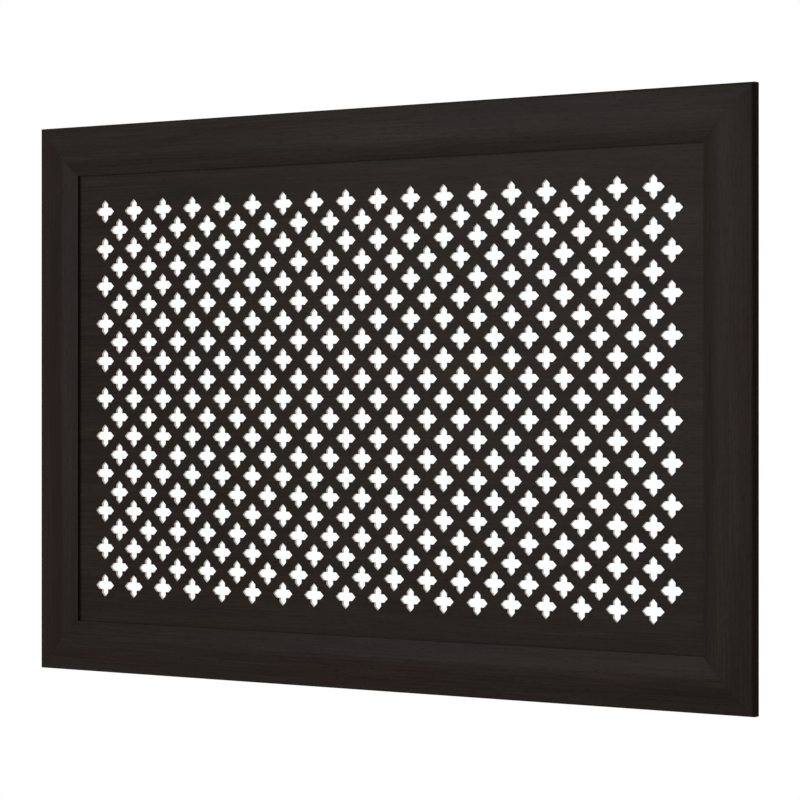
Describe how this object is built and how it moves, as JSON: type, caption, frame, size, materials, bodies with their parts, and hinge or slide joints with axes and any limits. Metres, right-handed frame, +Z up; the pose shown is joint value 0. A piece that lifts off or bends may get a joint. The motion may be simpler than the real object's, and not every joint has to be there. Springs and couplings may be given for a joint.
{
  "type": "radiator cover screen",
  "caption": "Framed perforated screen that hangs in front of a radiator and lets its warm air through, with height-adjustable hanging brackets behind it.",
  "frame": {"origin": "centre of the four fixing holes in the brackets' rear flanges, on the plane that the flanges rest against", "axes": "+X across the screen to the viewer's right, +Y backwards into the wall or radiator, so -Y is the decorated front, +Z up"},
  "size_m": [0.9, 0.0521, 0.6],
  "materials": {
    "wenge_foil_moulding": "satin wood-grain foil over fibreboard",
    "wenge_foil_panel": "satin wood-grain foil over hardboard, pale pierced edges",
    "zinc_plated_strip": "zinc plated, satin",
    "zinc_plated_screw": "zinc plated, bright",
    "wedge_steel": "plain spring steel"
  },
  "bodies": {
    "brackets": {"hanging_bracket_upper_left": "zinc_plated_strip", "hanging_bracket_upper_right": "zinc_plated_strip", "hanging_bracket_lower_left": "zinc_plated_strip", "hanging_bracket_lower_right": "zinc_plated_strip"},
    "screen": {"top_rail": "wenge_foil_moulding", "bottom_rail": "wenge_foil_moulding", "left_stile": "wenge_foil_moulding", "right_stile": "wenge_foil_moulding", "perforated_panel": "wenge_foil_panel", "corner_wedge_upper_left_outer": "wedge_steel", "corner_wedge_upper_left_inner": "wedge_steel", "corner_wedge_upper_right_outer": "wedge_steel", "corner_wedge_upper_right_inner": "wedge_steel", "corner_wedge_lower_left_outer": "wedge_steel", "corner_wedge_lower_left_inner": "wedge_steel", "corner_wedge_lower_right_outer": "wedge_steel", "corner_wedge_lower_right_inner": "wedge_steel", "bracket_screw_upper_left_left": "zinc_plated_screw", "bracket_screw_upper_left_right": "zinc_plated_screw", "bracket_screw_upper_right_left": "zinc_plated_screw", "bracket_screw_upper_right_right": "zinc_plated_screw", "bracket_screw_lower_left_left": "zinc_plated_screw", "bracket_screw_lower_left_right": "zinc_plated_screw", "bracket_screw_lower_right_left": "zinc_plated_screw", "bracket_screw_lower_right_right": "zinc_plated_screw"}
  },
  "joints": [
    {"name": "height_slide", "type": "slide", "parent": "brackets", "child": "screen", "axis": [0, 0, 1], "range_m": [-0.008, 0.008]}
  ]
}
